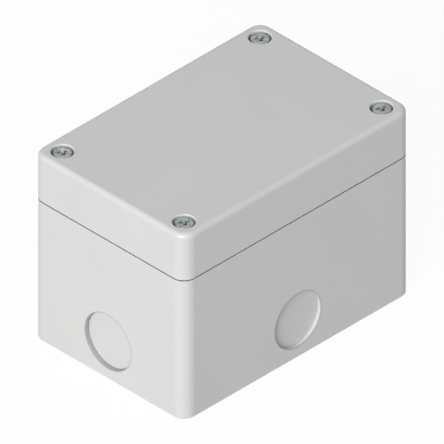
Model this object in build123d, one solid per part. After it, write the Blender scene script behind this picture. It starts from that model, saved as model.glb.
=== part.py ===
from build123d import *
import os

# All lengths are in millimetres. X runs along the long side, Y along the short side and
# Z from the wall side to the lid. The origin is the centre of the wall side.

# Outside of the closed enclosure
LENGTH = 120.0
WIDTH = 80.0
BASE_HEIGHT = 63.4
LID_HEIGHT = 20.6
CORNER_RADIUS = 5.5
TOP_ROUNDING = 2.0
FOOT_CHAMFER = 0.4

# Moulded walls
WALL = 3.5
FLOOR = 3.0
LID_TOP = 3.0
POCKET_RADIUS = 3.0

# Shadow line between base and lid
SEAM_GAP = 0.5
SEAM_DEPTH = 1.3

# Seal: a tongue on the base presses a gasket in a groove of the lid
TONGUE_THICKNESS = 1.5
TONGUE_HEIGHT = 2.0
TONGUE_CLEARANCE = 0.25
GASKET_THICKNESS = 2.0
INNER_LIP = 1.3
SEAL_LAND = 1.25

# Captive lid screws
SCREW_INSET = 8.0
THREAD_DIAMETER = 4.0
THREAD_REACH = 10.0
THREAD_RUNOUT = 0.6
NECK_DIAMETER = 3.1
HEAD_DIAMETER = 8.0
HEAD_HEIGHT = 2.8
HEAD_RECESS = 0.3
HEAD_CLEARANCE = 0.45
COUNTERBORE_CHAMFER = 0.3
RECESS_SPAN = 4.6
RECESS_SLOT = 1.15
RECESS_DEPTH = 1.9
RECESS_TIP_SPAN = 2.0
RECESS_TIP_SLOT = 0.8

# Rings that keep the screws in the lid
RETAINER_DIAMETER = 6.2
RETAINER_THICKNESS = 1.2
RETAINER_NECK_CLEARANCE = 0.1
RETAINER_SETBACK = 0.8

# Threaded inserts in the pillars
INSERT_ACROSS_FLATS = 6.0
INSERT_LENGTH = 8.0
INSERT_THREAD_CLEARANCE = 0.05
PILLAR_SPARE_DEPTH = 3.0

# Wall-fixing channels in the corner blocks
FIXING_INSET_X = 18.0
FIXING_INSET_Y = 8.0
FIXING_HOLE = 4.5
FIXING_CHANNEL = 9.0
FIXING_FLOOR = 5.0

# Cable knockouts
KNOCKOUT_DIAMETER = 24.2
KNOCKOUT_HEIGHT = 17.0
KNOCKOUT_RECESS = 1.8
KNOCKOUT_WEB = 0.8
KNOCKOUT_GROOVE = 1.0

# Bosses on the floor for a mounting plate
BOSS_INSET_X = 22.0
BOSS_INSET_Y = 24.0
BOSS_DIAMETER = 7.5
BOSS_HEIGHT = 5.0
BOSS_PILOT = 3.3
BOSS_PILOT_DEPTH = 6.0

# Sizes and heights that follow from the ones above
TOTAL_HEIGHT = BASE_HEIGHT + LID_HEIGHT
HEAD_TOP = TOTAL_HEIGHT - HEAD_RECESS
HEAD_SEAT = HEAD_TOP - HEAD_HEIGHT
SCREW_END = BASE_HEIGHT - THREAD_REACH
THREAD_TOP = BASE_HEIGHT - THREAD_RUNOUT
COUNTERBORE = HEAD_DIAMETER + 2 * HEAD_CLEARANCE
RETAINER_TOP = BASE_HEIGHT + RETAINER_SETBACK + RETAINER_THICKNESS
GROOVE_DEPTH = TONGUE_HEIGHT + GASKET_THICKNESS
GROOVE_OUT = TONGUE_THICKNESS + TONGUE_CLEARANCE
LIP_INSET = TONGUE_CLEARANCE + INNER_LIP
BLOCK_X = LENGTH / 2 - FIXING_INSET_X - FIXING_CHANNEL / 2 - SEAL_LAND - GROOVE_OUT
BLOCK_Y = WIDTH / 2 - FIXING_INSET_Y - FIXING_CHANNEL / 2 - SEAL_LAND - GROOVE_OUT

CORNERS = {"front_left": (-1, -1), "front_right": (1, -1), "rear_left": (-1, 1), "rear_right": (1, 1)}


def corner_places(inset_x, inset_y):
    """One point for each corner, set in from the outer faces."""
    x = LENGTH / 2 - inset_x
    y = WIDTH / 2 - inset_y
    return {name: (side_x * x, side_y * y) for name, (side_x, side_y) in CORNERS.items()}


def upright(diameter, bottom, top):
    """Round bar along Z between two heights."""
    bar = Cylinder(diameter / 2, top - bottom, align=(Align.CENTER, Align.CENTER, Align.MIN))
    return Pos(0, 0, bottom) * bar


def at_each(places, tool):
    """The same tool at every place."""
    return [Pos(x, y, 0) * tool for x, y in places.values()]


def outer_outline(inset=0.0):
    """Outline of both shells, moved inwards by inset."""
    return RectangleRounded(LENGTH - 2 * inset, WIDTH - 2 * inset, CORNER_RADIUS - inset)


def cavity_outline(grow=0.0):
    """Cross-shaped outline of the sealed space between the corner blocks, moved outwards by grow."""
    half_length = LENGTH / 2 - WALL + grow
    half_width = WIDTH / 2 - WALL + grow
    block_x = BLOCK_X + grow
    block_y = BLOCK_Y + grow
    radius = POCKET_RADIUS + grow
    outline = RectangleRounded(2 * half_length, 2 * block_y, radius)
    outline += RectangleRounded(2 * block_x, 2 * half_width, radius)
    inner_corners = outline.vertices().sort_by_distance((0, 0, 0))[: len(CORNERS)]
    return fillet(inner_corners, POCKET_RADIUS - grow)


def make_seam_rebate():
    """Shallow step round the outer edge of the base's rim, which shows as a shadow line."""
    ring = outer_outline() - outer_outline(SEAM_DEPTH)
    return Pos(0, 0, BASE_HEIGHT - SEAM_GAP) * extrude(ring, SEAM_GAP)


def make_tongue():
    """Sealing tongue that stands on the base's rim."""
    ring = cavity_outline(TONGUE_THICKNESS) - cavity_outline()
    return Pos(0, 0, BASE_HEIGHT) * extrude(ring, TONGUE_HEIGHT)


def make_knockout_cut(wall_distance):
    """Cutter for one knockout in the wall that faces +X, which leaves a thin web round the disc."""
    mouth = Pos(wall_distance, 0, KNOCKOUT_HEIGHT) * Rot(0, -90, 0)
    recess = mouth * extrude(Circle(KNOCKOUT_DIAMETER / 2), KNOCKOUT_RECESS)
    ring = Circle(KNOCKOUT_DIAMETER / 2) - Circle(KNOCKOUT_DIAMETER / 2 - KNOCKOUT_GROOVE)
    web_back = KNOCKOUT_RECESS + KNOCKOUT_WEB
    groove = mouth * Pos(0, 0, web_back) * extrude(ring, WALL - web_back)
    return [recess, groove]


def make_knockouts():
    """Cutters for the knockouts in all four walls."""
    cuts = []
    for turn, distance in ((0, LENGTH / 2), (90, WIDTH / 2), (180, LENGTH / 2), (270, WIDTH / 2)):
        cuts += [Rot(0, 0, turn) * cut for cut in make_knockout_cut(distance)]
    return cuts


def make_hexagon_bar(bottom):
    """Six-sided bar up to the pillar's top, for a threaded insert and for its seat."""
    outline = RegularPolygon(INSERT_ACROSS_FLATS / 2, 6, major_radius=False)
    return Pos(0, 0, bottom) * extrude(outline, BASE_HEIGHT - bottom)


def make_fixing_channel():
    """Channel for a wall screw and its driver, with a through hole in its floor."""
    return upright(FIXING_HOLE, 0, BASE_HEIGHT) + upright(FIXING_CHANNEL, FIXING_FLOOR, BASE_HEIGHT)


def make_base():
    """Lower shell with corner blocks, sealing tongue, knockouts and floor bosses."""
    shell = extrude(outer_outline(), BASE_HEIGHT)
    shell = chamfer(shell.faces().sort_by(Axis.Z)[0].edges(), FOOT_CHAMFER)
    shell -= Pos(0, 0, FLOOR) * extrude(cavity_outline(), TOTAL_HEIGHT)
    shell -= make_seam_rebate()
    shell += make_tongue()
    boss = upright(BOSS_DIAMETER, FLOOR / 2, FLOOR + BOSS_HEIGHT)
    shell += at_each(corner_places(BOSS_INSET_X, BOSS_INSET_Y), boss)
    pilot = upright(BOSS_PILOT, FLOOR + BOSS_HEIGHT - BOSS_PILOT_DEPTH, FLOOR + BOSS_HEIGHT)
    shell -= at_each(corner_places(BOSS_INSET_X, BOSS_INSET_Y), pilot)
    seat = make_hexagon_bar(SCREW_END - PILLAR_SPARE_DEPTH)
    shell -= at_each(corner_places(SCREW_INSET, SCREW_INSET), seat)
    shell -= at_each(corner_places(FIXING_INSET_X, FIXING_INSET_Y), make_fixing_channel())
    shell -= make_knockouts()
    return shell


def make_lid_blank():
    """Solid lid block, rounded all round its top."""
    blank = Pos(0, 0, BASE_HEIGHT) * extrude(outer_outline(), LID_HEIGHT)
    return fillet(blank.faces().sort_by(Axis.Z)[-1].edges(), TOP_ROUNDING)


def make_groove():
    """Ring-shaped space in the lid that takes the tongue and the gasket."""
    ring = cavity_outline(GROOVE_OUT) - cavity_outline(-TONGUE_CLEARANCE)
    return Pos(0, 0, BASE_HEIGHT) * extrude(ring, GROOVE_DEPTH)


def make_lid_screw_hole():
    """Hole for a captive screw: a chamfered counterbore above the bore that holds the ring."""
    bore = upright(RETAINER_DIAMETER, BASE_HEIGHT, HEAD_SEAT)
    counterbore = upright(COUNTERBORE, HEAD_SEAT, TOTAL_HEIGHT)
    mouth = Cone(
        COUNTERBORE / 2,
        COUNTERBORE / 2 + COUNTERBORE_CHAMFER,
        COUNTERBORE_CHAMFER,
        align=(Align.CENTER, Align.CENTER, Align.MAX),
    )
    return bore + counterbore + Pos(0, 0, TOTAL_HEIGHT) * mouth


def make_lid():
    """Upper shell with corner blocks, seal groove and screw holes."""
    shell = make_lid_blank()
    shell -= Pos(0, 0, BASE_HEIGHT) * extrude(cavity_outline(-LIP_INSET), LID_HEIGHT - LID_TOP)
    shell -= make_groove()
    shell -= at_each(corner_places(SCREW_INSET, SCREW_INSET), make_lid_screw_hole())
    return shell


def make_gasket():
    """Flat elastomer strip that fills the roof of the lid's groove."""
    ring = cavity_outline(GROOVE_OUT) - cavity_outline(-TONGUE_CLEARANCE)
    return Pos(0, 0, BASE_HEIGHT + TONGUE_HEIGHT) * extrude(ring, GASKET_THICKNESS)


def make_cross_recess():
    """Cutter for the driver recess: two crossed wedges whose ends draw in towards the floor."""
    inset = (RECESS_SPAN - RECESS_TIP_SPAN) / 2
    side = (RECESS_SLOT - RECESS_TIP_SLOT) / 2
    arm = Wedge(
        RECESS_SPAN,
        RECESS_DEPTH,
        RECESS_SLOT,
        inset,
        side,
        inset + RECESS_TIP_SPAN,
        side + RECESS_TIP_SLOT,
        align=(Align.CENTER, Align.MIN, Align.CENTER),
    )
    arm = Pos(0, 0, HEAD_TOP) * Rot(-90, 0, 0) * arm
    return arm + Rot(0, 0, 90) * arm


def make_lid_screw():
    """Captive screw on the Z axis: cheese head, waisted neck and threaded end."""
    head = upright(HEAD_DIAMETER, HEAD_SEAT, HEAD_TOP)
    neck = upright(NECK_DIAMETER, THREAD_TOP, HEAD_SEAT)
    thread = upright(THREAD_DIAMETER, SCREW_END, THREAD_TOP)
    return head + neck + thread - make_cross_recess()


def make_retainer():
    """Nylon ring round the screw's neck, pressed into the lid's screw hole from below."""
    ring = upright(RETAINER_DIAMETER, RETAINER_TOP - RETAINER_THICKNESS, RETAINER_TOP)
    hole = upright(NECK_DIAMETER + 2 * RETAINER_NECK_CLEARANCE, BASE_HEIGHT, TOTAL_HEIGHT)
    return ring - hole


def make_insert():
    """Six-sided brass insert, pressed into the pillar flush with its top."""
    bore = upright(THREAD_DIAMETER + 2 * INSERT_THREAD_CLEARANCE, 0, BASE_HEIGHT)
    return make_hexagon_bar(BASE_HEIGHT - INSERT_LENGTH) - bore


def export_node(name, solid):
    """Write one piece to its own file."""
    solid.label = name
    export_step(solid, f"parts/{name}.step")


os.makedirs("parts", exist_ok=True)
export_node("enclosure_base", make_base())
export_node("lid", make_lid())
export_node("lid_gasket", make_gasket())
for corner_name, (x, y) in corner_places(SCREW_INSET, SCREW_INSET).items():
    export_node(f"lid_screw_{corner_name}", Pos(x, y, 0) * make_lid_screw())
    export_node(f"screw_retainer_{corner_name}", Pos(x, y, 0) * make_retainer())
    export_node(f"pillar_insert_{corner_name}", Pos(x, y, 0) * make_insert())
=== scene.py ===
import math
import bmesh
import bpy
from mathutils import Matrix, Vector


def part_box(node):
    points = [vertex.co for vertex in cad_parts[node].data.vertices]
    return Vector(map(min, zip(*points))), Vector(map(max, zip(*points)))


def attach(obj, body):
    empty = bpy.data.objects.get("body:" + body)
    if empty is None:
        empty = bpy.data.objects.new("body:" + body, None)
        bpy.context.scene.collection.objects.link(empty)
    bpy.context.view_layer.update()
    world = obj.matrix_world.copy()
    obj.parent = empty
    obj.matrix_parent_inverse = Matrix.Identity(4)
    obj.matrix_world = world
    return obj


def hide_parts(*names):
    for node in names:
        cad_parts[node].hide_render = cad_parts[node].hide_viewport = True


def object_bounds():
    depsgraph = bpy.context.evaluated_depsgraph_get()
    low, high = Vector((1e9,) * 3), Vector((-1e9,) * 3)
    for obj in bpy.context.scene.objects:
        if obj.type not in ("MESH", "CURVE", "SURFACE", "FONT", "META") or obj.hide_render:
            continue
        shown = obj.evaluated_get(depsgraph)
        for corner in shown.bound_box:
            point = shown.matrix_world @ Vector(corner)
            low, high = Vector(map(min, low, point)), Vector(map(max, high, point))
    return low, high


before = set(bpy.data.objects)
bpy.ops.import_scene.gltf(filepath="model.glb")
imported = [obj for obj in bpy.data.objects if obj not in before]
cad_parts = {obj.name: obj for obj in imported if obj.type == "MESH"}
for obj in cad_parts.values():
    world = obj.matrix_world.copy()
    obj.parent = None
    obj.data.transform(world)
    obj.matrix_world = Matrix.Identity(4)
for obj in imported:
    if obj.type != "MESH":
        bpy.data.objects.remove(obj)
cad_low, cad_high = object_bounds()

# The base is the deep lower shell, injection moulded in light grey polycarbonate. The mould
# was spark eroded, which leaves a fine satin grain on its walls, and the four round cable
# knockouts are thinner places in the same wall.
GREYS = ((0.2, (0.592, 0.593, 0.586, 1.0)), (0.8, (0.630, 0.631, 0.624, 1.0)))
GRAIN_SIZE = 0.0004
GRAIN_SHARE = 0.25
GRAIN_STRENGTH = 0.5
GRAIN_DEPTH = 0.00002
CLOUD_SIZE = 0.025
CLOUD_DETAIL = 3.0
PLASTIC_ROUGHNESS = 0.40
PLASTIC_UNEVENNESS = 0.08
PLASTIC_IOR = 1.58
# The dark grey below and the values after it paint shade into the colour: in the seam between base
# and lid, and on the rims, walls and corners of the knockout recesses.
SHADE_GREY = (0.10, 0.10, 0.095, 1.0)
SEAM_GAP = 0.0005
SEAM_MARGIN = 0.00001
SEAM_SHADE = 0.68
KNOCKOUT_RADIUS = 0.0121
KNOCKOUT_HEIGHT = 0.017
KNOCKOUT_RECESS = 0.0018
FRONT_SHADE = {"rim": 0.5, "side": 0.0, "corner": 0.25}
END_SHADE = {"rim": 0.5, "side": 0.42, "corner": 0.8}
SHADE_REACH = 0.0005
SIDE_MARGIN = 0.00005


class Shade:
    """A socket in a material's node tree, which takes part in Python expressions."""

    def __init__(self, tree, socket=None):
        self.tree = tree
        self.socket = socket

    def add(self, kind, settings=None, inputs=None, output=0):
        """A new node: its settings are made first, then the values or links of its sockets."""
        node = self.tree.nodes.new(kind)
        for name, value in (settings or {}).items():
            if name == "stops":
                for element, (position, colour) in zip(node.color_ramp.elements, value):
                    element.position = position
                    element.color = colour
            else:
                setattr(node, name, value)
        for name, value in (inputs or {}).items():
            if isinstance(value, Shade):
                self.tree.links.new(value.socket, node.inputs[name])
            else:
                node.inputs[name].default_value = value
        return Shade(self.tree, node.outputs[output] if node.outputs else None)

    def math(self, operation, *values):
        return self.add("ShaderNodeMath", {"operation": operation}, dict(enumerate(values)))

    def __add__(self, other):
        return self.math("ADD", self, other)

    __radd__ = __add__

    def __sub__(self, other):
        return self.math("SUBTRACT", self, other)

    def __rsub__(self, other):
        return self.math("SUBTRACT", other, self)

    def __mul__(self, other):
        return self.math("MULTIPLY", self, other)

    __rmul__ = __mul__


def start_material(name):
    """An empty material and the first Shade of its tree."""
    material = bpy.data.materials.new(name)
    material.use_nodes = True
    material.node_tree.nodes.clear()
    return material, Shade(material.node_tree)


def end_material(shade, looks):
    """The solid surface with these looks."""
    surface = shade.add("ShaderNodeBsdfPrincipled", {}, looks)
    shade.add("ShaderNodeOutputMaterial", {}, {"Surface": surface})


def noise(shade, place, size, detail=2.0):
    """Soft random pattern whose blotches are about size metres across."""
    sockets = {"Vector": place, "Scale": 1 / size, "Detail": detail}
    return shade.add("ShaderNodeTexNoise", {}, sockets)


def blend(shade, factor, stops):
    """A colour that goes from the first stop's to the second's as the factor grows."""
    return shade.add("ShaderNodeValToRGB", {"stops": stops}, {"Fac": factor})


def relief(shade, height, strength, depth):
    """Fine unevenness of the surface, at most depth metres deep."""
    sockets = {"Height": height, "Strength": strength, "Distance": depth}
    return shade.add("ShaderNodeBump", {}, sockets)


def seam_shade(shade, z):
    """How dark the shade painted into the gap between base and lid is, from 0 to 1."""
    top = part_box("lid")[0].z
    # Painted shade: the band of heights inside the seam gap is darkened in the colour.
    above = shade.math("GREATER_THAN", z, top - SEAM_GAP - SEAM_MARGIN)
    return above * shade.math("LESS_THAN", z, top + SEAM_MARGIN) * SEAM_SHADE


def knockout_shade(shade, x, y, z):
    """How dark the shade painted on the rims, side walls and corners of the round recesses is."""
    # Painted shade: the recesses' rims, inner corners and, on the end walls, their sides are
    # darkened in the colour.
    painted_shade = 0.0
    up = z - KNOCKOUT_HEIGHT
    walls = ((x, y, cad_high.y, FRONT_SHADE), (y, x, cad_high.x, END_SHADE))
    for across, outward, wall, darkness in walls:
        off_circle = shade.math("SQRT", across * across + up * up) - KNOCKOUT_RADIUS
        depth = wall - shade.math("ABSOLUTE", outward)
        for edge, edge_depth in (("rim", 0.0), ("corner", KNOCKOUT_RECESS)):
            off_edge = depth - edge_depth
            distance = shade.math("SQRT", off_circle * off_circle + off_edge * off_edge)
            nearness = 1 - distance * (1 / SHADE_REACH)
            painted_shade = shade.math("MAXIMUM", painted_shade, nearness * darkness[edge])
        on_circle = shade.math("LESS_THAN", shade.math("ABSOLUTE", off_circle), SIDE_MARGIN)
        on_side = on_circle * shade.math("LESS_THAN", depth, KNOCKOUT_RECESS)
        painted_shade = shade.math("MAXIMUM", painted_shade, on_side * darkness["side"])
    return painted_shade


def moulded_plastic():
    """Satin light grey plastic with a fine grain, faint clouds, and shade painted into the seam
    and the knockout recesses.
    """
    material, shade = start_material("light_grey_plastic")
    place = shade.add("ShaderNodeTexCoord", output="Object")
    grain = noise(shade, place, GRAIN_SIZE)
    clouds = noise(shade, place, CLOUD_SIZE, CLOUD_DETAIL)
    clean = blend(shade, (1 - GRAIN_SHARE) * clouds + GRAIN_SHARE * grain, GREYS)
    x, y, z = [shade.add("ShaderNodeSeparateXYZ", {}, {"Vector": place}, output=axis)
               for axis in "XYZ"]
    # Painted shade: the seam and the knockouts' rims, walls and corners are darkened towards a
    # dark grey.
    painted_shade = shade.math("MAXIMUM", seam_shade(shade, z), knockout_shade(shade, x, y, z))
    shaded_colour = shade.add("ShaderNodeMix", {"data_type": "RGBA"},
                      {"Factor": painted_shade, "A": clean, "B": SHADE_GREY}, output="Result")
    end_material(shade, {
        "Base Color": shaded_colour,
        "Roughness": PLASTIC_ROUGHNESS + PLASTIC_UNEVENNESS * (clouds - 0.5),
        "IOR": PLASTIC_IOR,
        "Normal": relief(shade, grain, GRAIN_STRENGTH, GRAIN_DEPTH),
    })
    return material


def dress(node, material):
    """Give a CAD node its finish."""
    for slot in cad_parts[node].material_slots:
        slot.material = material


plastic = moulded_plastic()
dress("enclosure_base", plastic)

# Each pillar of the base holds a six-sided brass insert, sawn from drawn bar, bored with a
# flare at both ends and tapped M4. It is pressed into its seat, flush with the pillar's top.
CORNERS = ("front_left", "front_right", "rear_left", "rear_right")
INSERT_SIDES = 6
INSERT_BORE = 0.00165
INSERT_FLARE = 0.0022
INSERT_FLARE_DEPTH = 0.0005
STEPS_ROUND = 48
THREAD_PITCH = 0.0007
THREAD_END = 0.0094
THREAD_STEPS = 24
CREST_START = 0.42
CREST_END = 0.52
TOOTH_END = 0.94
TAP_ROOT = 0.0016
TAP_CREST = 0.00205
TAP_TURN = 59
TAP_OVERRUN = 2
TOUCHING = 1e-7
SLIVER = 0.000004
FLAT_ANGLE = math.radians(0.1)
SMOOTH_ANGLE = math.radians(35)
BRASSES = ((0.3, (0.58, 0.40, 0.18, 1.0)), (0.7, (0.72, 0.52, 0.24, 1.0)))
BRASS_ROUGHNESS = 0.28
BRASS_UNEVENNESS = 0.15
STREAK_WIDTH = 0.0002
STREAK_SQUEEZE = 0.02
STREAK_STRENGTH = 0.3
STREAK_DEPTH = 0.00001


def piece_from(mesh, name):
    """An object with the finished bmesh as its mesh."""
    data = bpy.data.meshes.new(name)
    mesh.to_mesh(data)
    mesh.free()
    piece = bpy.data.objects.new(name, data)
    bpy.context.scene.collection.objects.link(piece)
    return piece


def spin_outline(outline, steps):
    """A closed solid turned about Z, from points of radius and height that end on the axis."""
    mesh = bmesh.new()
    points = [mesh.verts.new((radius, 0, height)) for radius, height in outline]
    edges = [mesh.edges.new(pair) for pair in zip(points, points[1:])]
    bmesh.ops.spin(mesh, geom=points + edges, cent=(0, 0, 0), axis=(0, 0, 1), dvec=(0, 0, 0),
                   angle=2 * math.pi, steps=steps, use_merge=True)
    bmesh.ops.remove_doubles(mesh, verts=mesh.verts, dist=TOUCHING)
    bmesh.ops.recalc_face_normals(mesh, faces=mesh.faces)
    return mesh


def thread_ridge(root, crest, bottom, top):
    """One tooth's outline wound down a right-hand thread: a rolled thread, or a tap's cut."""
    mesh = bmesh.new()
    count = round(THREAD_STEPS * ((top - bottom) / THREAD_PITCH - 1))
    tooth = ((root, 0.0), (crest, CREST_START), (crest, CREST_END), (root, TOOTH_END))
    corners = [mesh.verts.new((radius, 0, top - share * THREAD_PITCH))
               for radius, share in tooth]
    face = mesh.faces.new(corners)
    bmesh.ops.spin(mesh, geom=[face], cent=(0, 0, 0), axis=(0, 0, 1),
                   dvec=(0, 0, -THREAD_PITCH / THREAD_STEPS),
                   angle=-2 * math.pi * count / THREAD_STEPS, steps=count)
    bmesh.ops.holes_fill(mesh, edges=mesh.edges, sides=len(tooth))
    bmesh.ops.recalc_face_normals(mesh, faces=mesh.faces)
    return piece_from(mesh, "thread_ridge")


def in_fixed_order(mesh):
    """The same mesh, numbered by its corners' places: a cut numbers them anew in each run."""
    ordered = bmesh.new()
    place = {corner: tuple(corner.co) for corner in mesh.verts}
    numbered = {corner: ordered.verts.new(place[corner])
                for corner in sorted(mesh.verts, key=place.get)}
    for face in sorted(mesh.faces, key=lambda face: sorted(place[end] for end in face.verts)):
        corners = list(face.verts)
        first = corners.index(min(corners, key=place.get))
        ordered.faces.new([numbered[end] for end in corners[first:] + corners[:first]])
    mesh.free()
    return ordered


def combine(piece, tool, operation):
    """The mesh of a piece with a tool cut from it or joined on. Both objects are used up."""
    change = piece.modifiers.new("change", "BOOLEAN")
    change.operation = operation
    change.solver = "EXACT"
    change.use_self = True
    change.object = tool
    graph = bpy.context.evaluated_depsgraph_get()
    mesh = bmesh.new()
    mesh.from_object(piece, graph)
    bpy.data.objects.remove(piece)
    bpy.data.objects.remove(tool)
    mesh = in_fixed_order(mesh)
    bmesh.ops.remove_doubles(mesh, verts=mesh.verts, dist=SLIVER)
    bmesh.ops.dissolve_degenerate(mesh, edges=mesh.edges, dist=SLIVER)
    bmesh.ops.dissolve_limit(mesh, angle_limit=FLAT_ANGLE, verts=mesh.verts, edges=mesh.edges)
    loose = [corner for corner in mesh.verts if not corner.link_faces]
    bmesh.ops.delete(mesh, geom=loose, context="VERTS")
    return mesh


def axis_of(node):
    """The upright axis through the middle of a CAD node, as x and y."""
    low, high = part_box(node)
    return (low.x + high.x) / 2, (low.y + high.y) / 2


def make_insert(low, high, screw_end):
    """The mesh of one insert that stands on the origin, with its thread in step with a screw's."""
    length = high.z - low.z
    radius = (high.x - low.x) / 2
    flats = Matrix.Rotation(math.pi / INSERT_SIDES, 3, "Z")
    bar = bmesh.new()
    bmesh.ops.create_cone(bar, cap_ends=True, segments=INSERT_SIDES, radius1=radius,
                          radius2=radius, depth=length)
    bmesh.ops.rotate(bar, verts=bar.verts, cent=(0, 0, 0), matrix=flats)
    bmesh.ops.translate(bar, verts=bar.verts, vec=(0, 0, length / 2))
    drill = spin_outline([(0, 2 * length), (INSERT_FLARE, 2 * length), (INSERT_FLARE, length),
                          (INSERT_BORE, length - INSERT_FLARE_DEPTH),
                          (INSERT_BORE, INSERT_FLARE_DEPTH),
                          (INSERT_FLARE, 0), (INSERT_FLARE, -length), (0, -length)],
                         STEPS_ROUND)
    bored = combine(piece_from(bar, "brass_bar"), piece_from(drill, "drill"), "DIFFERENCE")
    thread_end = screw_end - low.z + THREAD_END
    turns_above = math.ceil((length - thread_end) / THREAD_PITCH + TAP_OVERRUN)
    tap = thread_ridge(TAP_ROOT, TAP_CREST, -TAP_OVERRUN * THREAD_PITCH,
                       thread_end + turns_above * THREAD_PITCH)
    tap.data.transform(Matrix.Rotation(math.radians(TAP_TURN), 4, "Z"))
    return combine(piece_from(bored, "bored_bar"), tap, "DIFFERENCE")


def finish_piece(piece, material, *nodes, slot):
    """Smooth the round faces of a finished piece, and put it in the place of its CAD nodes."""
    piece.data.materials.append(material)
    piece.data.shade_smooth()
    piece.data.set_sharp_from_angle(angle=SMOOTH_ANGLE)
    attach(piece, "root")
    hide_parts(*nodes)


def drawn_brass():
    """Brass with fine streaks along the drawn bar."""
    material, shade = start_material("drawn_brass")
    place = shade.add("ShaderNodeTexCoord", output="Object")
    squeezed = shade.add("ShaderNodeMapping", {},
                         {"Vector": place, "Scale": (1, 1, STREAK_SQUEEZE)})
    streaks = noise(shade, squeezed, STREAK_WIDTH)
    end_material(shade, {
        "Base Color": blend(shade, streaks, BRASSES),
        "Metallic": 1.0,
        "Roughness": BRASS_ROUGHNESS + BRASS_UNEVENNESS * streaks,
        "Normal": relief(shade, streaks, STREAK_STRENGTH, STREAK_DEPTH),
    })
    return material


brass = drawn_brass()
screw_low, screw_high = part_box("lid_screw_front_left")
insert_low, insert_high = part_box("pillar_insert_front_left")
one_insert = make_insert(insert_low, insert_high, screw_low.z)
for corner in CORNERS:
    mesh = one_insert.copy()
    spot = Matrix.Translation((*axis_of(f"pillar_insert_{corner}"), insert_low.z))
    mesh.transform(spot)
    insert = piece_from(mesh, f"brass_insert_{corner}")
    finish_piece(insert, brass, f"pillar_insert_{corner}", slot="inserts")
one_insert.free()

# The gasket is a flat strip of black foamed elastomer, glued into the roof of the lid's
# groove. The base's tongue presses into it when the lid is screwed down.
RUBBERS = ((0.1, (0.030, 0.030, 0.032, 1.0)), (0.7, (0.055, 0.055, 0.057, 1.0)))
RUBBER_ROUGHNESS = 0.80
RUBBER_UNEVENNESS = 0.15
CELL_SIZE = 0.0006
CELL_STRENGTH = 0.6
CELL_DEPTH = 0.0001


def foamed_rubber():
    """Dull black elastomer, pitted by the small cells of the foam."""
    material, shade = start_material("gasket_rubber")
    place = shade.add("ShaderNodeTexCoord", output="Object")
    cells = shade.add("ShaderNodeTexVoronoi", {"feature": "F1"},
                      {"Vector": place, "Scale": 1 / CELL_SIZE})
    end_material(shade, {
        "Base Color": blend(shade, cells, RUBBERS),
        "Roughness": RUBBER_ROUGHNESS + RUBBER_UNEVENNESS * cells,
        "Normal": relief(shade, cells, CELL_STRENGTH, CELL_DEPTH),
    })
    return material


dress("lid_gasket", foamed_rubber())

# The lid is the upper shell, moulded in the same grey plastic as the base. Its broad flat
# face is blank, ready to be drilled for pushbuttons, and its top edge is rounded all round.
dress("lid", plastic)

# A nylon ring under each counterbore of the lid grips the screw's thin neck, so that the
# screw stays in the lid. It is stamped from natural sheet and pressed in from below.
NYLONS = ((0.3, (0.76, 0.73, 0.64, 1.0)), (0.7, (0.84, 0.82, 0.75, 1.0)))
NYLON_CLOUD_SIZE = 0.0015
NYLON_ROUGHNESS = 0.38
NYLON_UNEVENNESS = 0.1
NYLON_MILKINESS = 0.2
NYLON_LIGHT_REACH = (0.001, 0.0009, 0.0007)


def natural_nylon():
    """Milky, slightly waxy nylon."""
    material, shade = start_material("natural_nylon")
    place = shade.add("ShaderNodeTexCoord", output="Object")
    clouds = noise(shade, place, NYLON_CLOUD_SIZE)
    end_material(shade, {
        "Base Color": blend(shade, clouds, NYLONS),
        "Roughness": NYLON_ROUGHNESS + NYLON_UNEVENNESS * clouds,
        "Subsurface Weight": NYLON_MILKINESS,
        "Subsurface Radius": NYLON_LIGHT_REACH,
    })
    return material


nylon = natural_nylon()
for corner in CORNERS:
    dress(f"screw_retainer_{corner}", nylon)

# The four lid screws are cold headed from stainless wire, with a cross recess, a thin neck
# that leaves them captive in the lid, and an M4 thread rolled on their ends.
SCREW_TURNS = {"front_left": 59, "front_right": 62, "rear_left": 56, "rear_right": 60}
HEAD_HEIGHT = 0.0028
HEAD_ROUNDING = 0.0014
HEAD_STEPS = 6
NECK_RADIUS = 0.00155
TIP_CHAMFER = 0.0004
THREAD_ROOT = 0.00153
THREAD_CREST = 0.002
RECESS_SPAN = 0.0046
RECESS_SLOT = 0.0015
RECESS_DEPTH = 0.0022
SPAN_TAPER = 0.45
SLOT_TAPER = 0.7
CONE_RADIUS = 0.0012
CONE_END = 1.1
CONE_POINT = 1.25
CONE_STEPS = 24
EDGE_SOFTNESS = 0.00007
EDGE_STEPS = 2
EDGE_ANGLE = math.radians(40)
STEELS = ((0.25, (0.176, 0.194, 0.194, 1.0)), (0.75, (0.485, 0.517, 0.533, 1.0)))
STEEL_ROUGHNESS = 0.34
STEEL_UNEVENNESS = 0.16
BLOTCH_SIZE = 0.0012
BLOTCH_DETAIL = 4.0
TOOL_MARKS = {"Scale": 900.0, "Distortion": 1.5, "Detail": 2.0}
TOOL_MARK_STRENGTH = 0.3
TOOL_MARK_DEPTH = 0.00001


def round_top(mesh, height, rounding, steps):
    """Round the sharp edges that lie at one height."""
    edges = [edge for edge in mesh.edges
             if all(abs(end.co.z - height) < SLIVER for end in edge.verts)
             and edge.calc_face_angle(0) > EDGE_ANGLE]
    bmesh.ops.bevel(mesh, geom=edges, offset=rounding, offset_type="OFFSET", affect="EDGES",
                    segments=steps, profile=0.5, material=-1)


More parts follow.
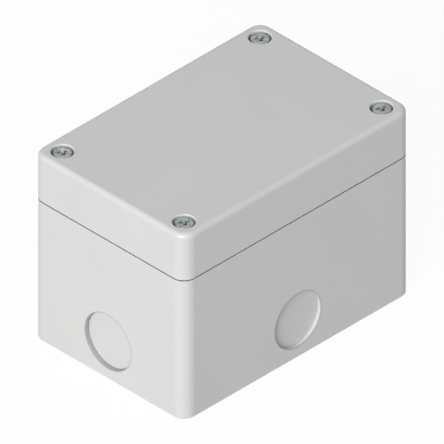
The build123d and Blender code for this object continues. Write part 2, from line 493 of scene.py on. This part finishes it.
def recess_cutter(top):
    """Two crossed tapered bars and a cone, the shape of the driver's tip."""
    mesh = spin_outline([(0, top), (CONE_RADIUS, top),
                         (CONE_RADIUS * SPAN_TAPER, top - RECESS_DEPTH * CONE_END),
                         (0, top - RECESS_DEPTH * CONE_POINT)], CONE_STEPS)
    for turn in (0, math.pi / 2):
        bar = bmesh.ops.create_cube(mesh, size=1.0)["verts"]
        bmesh.ops.scale(mesh, verts=bar, vec=(RECESS_SPAN, RECESS_SLOT, RECESS_DEPTH))
        foot = [corner for corner in bar if corner.co.z < 0]
        bmesh.ops.scale(mesh, verts=foot, vec=(SPAN_TAPER, SLOT_TAPER, 1))
        bmesh.ops.rotate(mesh, verts=bar, cent=(0, 0, 0), matrix=Matrix.Rotation(turn, 3, "Z"))
        bmesh.ops.translate(mesh, verts=bar, vec=(0, 0, top - RECESS_DEPTH / 2 + EDGE_SOFTNESS))
    return piece_from(mesh, "recess_cutter")


def make_screw(length, head_radius):
    """The mesh of one screw that stands on the origin."""
    seat = length - HEAD_HEIGHT
    mesh = spin_outline([(0, length), (head_radius, length), (head_radius, seat),
                         (NECK_RADIUS, seat), (NECK_RADIUS, TIP_CHAMFER),
                         (NECK_RADIUS - TIP_CHAMFER, 0), (0, 0)], STEPS_ROUND)
    round_top(mesh, length, HEAD_ROUNDING, HEAD_STEPS)
    ridge = thread_ridge(THREAD_ROOT, THREAD_CREST, TIP_CHAMFER, THREAD_END)
    mesh = combine(piece_from(mesh, "screw_blank"), ridge, "UNION")
    mesh = combine(piece_from(mesh, "threaded_blank"), recess_cutter(length), "DIFFERENCE")
    round_top(mesh, length, EDGE_SOFTNESS, EDGE_STEPS)
    return mesh


def headed_steel(corner):
    """Stainless steel with rings of fine tool marks round the screw's axis and dull blotches."""
    x, y = axis_of(f"lid_screw_{corner}")
    material, shade = start_material(f"screw_steel_{corner}")
    place = shade.add("ShaderNodeTexCoord", output="Object")
    centred = shade.add("ShaderNodeMapping", {}, {"Vector": place, "Location": (-x, -y, 0)})
    blotches = noise(shade, place, BLOTCH_SIZE, BLOTCH_DETAIL)
    rings = shade.add("ShaderNodeTexWave", {"wave_type": "RINGS", "rings_direction": "Z"},
                      {"Vector": centred, **TOOL_MARKS})
    end_material(shade, {
        "Base Color": blend(shade, blotches, STEELS),
        "Metallic": 1.0,
        "Roughness": STEEL_ROUGHNESS + STEEL_UNEVENNESS * blotches,
        "Normal": relief(shade, rings, TOOL_MARK_STRENGTH, TOOL_MARK_DEPTH),
    })
    return material


one_screw = make_screw(screw_high.z - screw_low.z, (screw_high.x - screw_low.x) / 2)
for corner, turn in SCREW_TURNS.items():
    mesh = one_screw.copy()
    spot = Matrix.Translation((*axis_of(f"lid_screw_{corner}"), screw_low.z))
    mesh.transform(spot @ Matrix.Rotation(math.radians(turn), 4, "Z"))
    screw = piece_from(mesh, f"captive_screw_{corner}")
    finish_piece(screw, headed_steel(corner), f"lid_screw_{corner}", slot="screws")
one_screw.free()

# The enclosure stands on a plain white table, under one large soft lamp from the front left
# and the even light of a pale room.
WHITE = (1.0, 1.0, 1.0, 1.0)
TABLE_WIDTH = 12.0
TABLE_DROP = 0.0001
TABLE_BOUNCE = (0.40, 0.40, 0.40, 1.0)
TABLE_GLOW = 0.93
ROOM_LIGHT = 0.46
LAMP_AZIMUTH = math.radians(-66.0)
LAMP_ELEVATION = math.radians(23.6)
LAMP_DISTANCE = 4.0
LAMP_WIDTH = 2.4
LAMP_POWER = 151.0


def towards(azimuth, elevation):
    """Unit vector from the enclosure towards a place round it; azimuth 0 is straight in front."""
    flat = math.cos(elevation)
    return Vector((math.sin(azimuth) * flat, -math.cos(azimuth) * flat, math.sin(elevation)))


def set_up(name, data, height, way, distance):
    """A lamp or camera at a distance from the middle axis, looking back at a height on it."""
    stand = bpy.data.objects.new(name, data)
    stand.location = Vector((0, 0, height)) + way * distance
    stand.rotation_euler = way.to_track_quat("Z", "Y").to_euler()
    bpy.context.scene.collection.objects.link(stand)
    return stand


def seen_directly(shade):
    """1 for what the camera or a reflection shows, 0 for light on its way to a dull surface."""
    rays = [shade.add("ShaderNodeLightPath", output=kind)
            for kind in ("Is Camera Ray", "Is Glossy Ray", "Is Transmission Ray")]
    return shade.math("MAXIMUM", shade.math("MAXIMUM", rays[0], rays[1]), rays[2])


def table_white():
    """Matt white that is seen lifted towards pure white, with the object's shadow kept."""
    material, shade = start_material("table_white")
    seen = seen_directly(shade)
    colour = shade.add("ShaderNodeMix", {"data_type": "RGBA"},
                       {"Factor": seen, "A": TABLE_BOUNCE, "B": WHITE}, output="Result")
    matt = shade.add("ShaderNodeBsdfDiffuse", {}, {"Color": colour})
    glow = shade.add("ShaderNodeEmission", {}, {"Color": WHITE, "Strength": 1.0})
    mixed = shade.add("ShaderNodeMixShader", {}, {0: seen * TABLE_GLOW, 1: matt, 2: glow})
    shade.add("ShaderNodeOutputMaterial", {}, {"Surface": mixed})
    return material


mesh = bmesh.new()
bmesh.ops.create_grid(mesh, x_segments=1, y_segments=1, size=TABLE_WIDTH / 2)
bmesh.ops.translate(mesh, verts=mesh.verts, vec=(0, 0, -TABLE_DROP))
table = piece_from(mesh, "table_top")
table.data.materials.append(table_white())

world = bpy.data.worlds.new("pale_room")
world.use_nodes = True
world.node_tree.nodes.clear()
room = Shade(world.node_tree)
even = room.add("ShaderNodeBackground", {}, {"Color": WHITE, "Strength": ROOM_LIGHT})
white = room.add("ShaderNodeBackground", {}, {"Color": WHITE, "Strength": 1.0})
surroundings = room.add("ShaderNodeMixShader", {}, {0: seen_directly(room), 1: even, 2: white})
room.add("ShaderNodeOutputWorld", {}, {"Surface": surroundings})
bpy.context.scene.world = world
bpy.context.scene.view_settings.view_transform = "Standard"

lamp = bpy.data.lights.new("soft_lamp", "AREA")
lamp.shape = "DISK"
lamp.size = LAMP_WIDTH
lamp.energy = LAMP_POWER
lamp_way = towards(LAMP_AZIMUTH, LAMP_ELEVATION)
set_up("soft_lamp", lamp, (cad_low.z + cad_high.z) / 2, lamp_way, LAMP_DISTANCE)

# The camera looks down on the front left corner in a true isometric view, without
# perspective.
VIEW_AZIMUTH = math.radians(-45)
VIEW_ELEVATION = math.atan(math.sqrt(0.5))
VIEW_WIDTH = 0.1653
VIEW_HEIGHT = 0.04164
VIEW_DISTANCE = 1.0

camera = bpy.data.cameras.new("camera")
camera.type = "ORTHO"
camera.ortho_scale = VIEW_WIDTH
camera_way = towards(VIEW_AZIMUTH, VIEW_ELEVATION)
camera_stand = set_up("camera", camera, VIEW_HEIGHT, camera_way, VIEW_DISTANCE)
bpy.context.scene.camera = camera_stand
